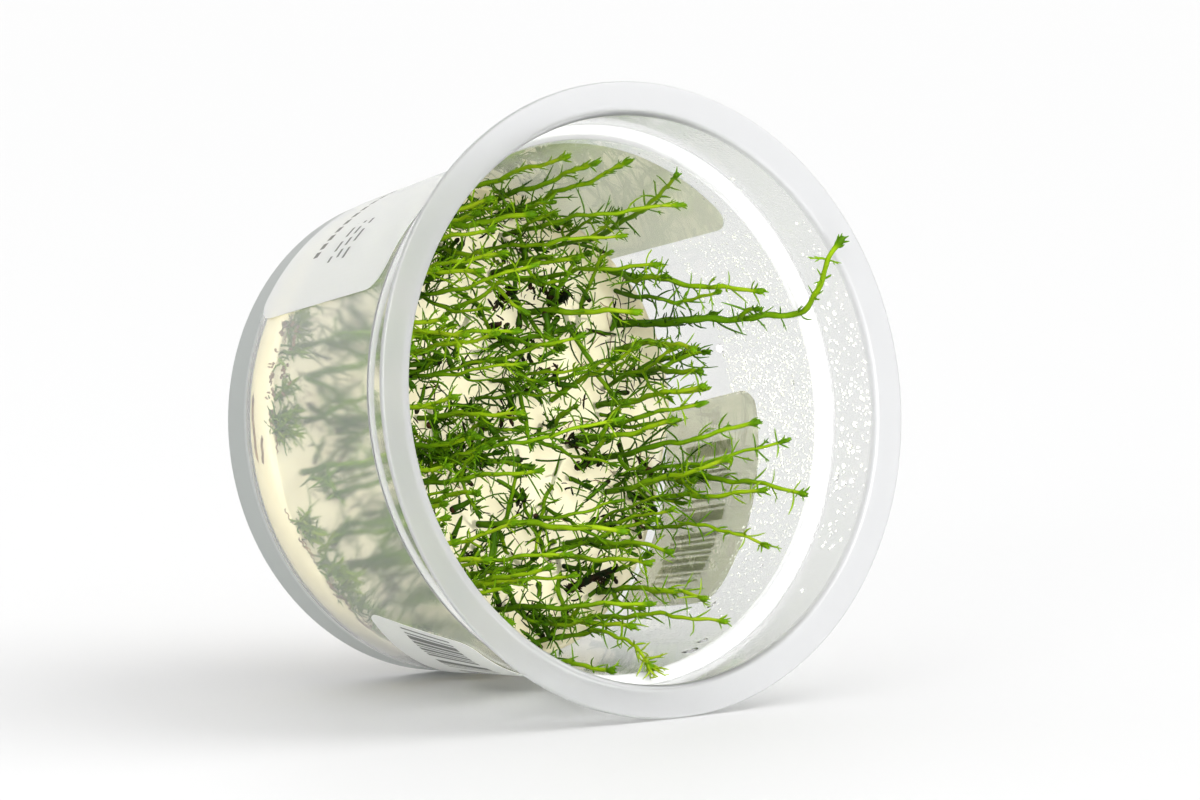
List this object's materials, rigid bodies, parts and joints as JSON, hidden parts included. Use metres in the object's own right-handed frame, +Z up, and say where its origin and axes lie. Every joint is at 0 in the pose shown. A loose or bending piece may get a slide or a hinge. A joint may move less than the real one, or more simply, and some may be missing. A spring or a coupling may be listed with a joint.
{
  "type": "tissue culture myriophyllum ussuriense",
  "caption": "Open translucent plastic culture cup lying on its side, with nutrient gel on its base and milfoil shoots growing towards the mouth.",
  "frame": {"origin": "on the surface that the cup lies on, under the middle of the object's box", "axes": "+Z up, -Y towards the cup's mouth, +X to the right seen from the mouth's side"},
  "size_m": [0.1, 0.0768, 0.0984],
  "materials": {
    "cup_plastic": "translucent moulded polypropylene, satin, with condensation inside",
    "gel": "wet cream nutrient gel",
    "sticker": "smooth white sticker paper",
    "leaf": "fresh green stems and needle leaves, slightly waxy",
    "dead_stem": "brown to black dead stem"
  },
  "bodies": {
    "root": {"cup": "cup_plastic", "gel": "gel", "label_top": "sticker", "label_side": "sticker", "label_front": "sticker", "shoot_01": "leaf", "shoot_02": "leaf", "shoot_03": "leaf", "shoot_04": "leaf", "shoot_05": "leaf", "shoot_06": "leaf", "shoot_07": "leaf", "shoot_08": "leaf", "shoot_09": "leaf", "shoot_10": "leaf", "shoot_11": "leaf", "shoot_12": "leaf", "shoot_13": "leaf", "shoot_14": "leaf", "shoot_15": "leaf", "shoot_16": "leaf", "shoot_17": "leaf", "shoot_18": "leaf", "shoot_19": "leaf", "shoot_20": "leaf", "shoot_21": "leaf", "shoot_22": "leaf", "shoot_23": "leaf", "shoot_24": "leaf", "shoot_25": "leaf", "shoot_26": "leaf", "shoot_27": "leaf", "shoot_28": "leaf", "shoot_29": "leaf", "shoot_30": "leaf", "shoot_31": "leaf", "shoot_32": "leaf", "shoot_33": "leaf", "shoot_34": "leaf", "shoot_35": "leaf", "shoot_36": "leaf", "shoot_37": "leaf", "shoot_38": "leaf", "shoot_39": "leaf", "shoot_40": "leaf", "shoot_41": "leaf", "shoot_42": "leaf", "shoot_43": "leaf", "shoot_44": "leaf", "shoot_45": "leaf", "shoot_46": "leaf", "shoot_47": "leaf", "shoot_48": "leaf", "shoot_49": "leaf", "shoot_50": "leaf", "shoot_51": "leaf", "shoot_52": "leaf", "stub_fallen": "dead_stem", "stub_dark": "dead_stem", "stub_brown": "dead_stem"}
  },
  "joints": []
}
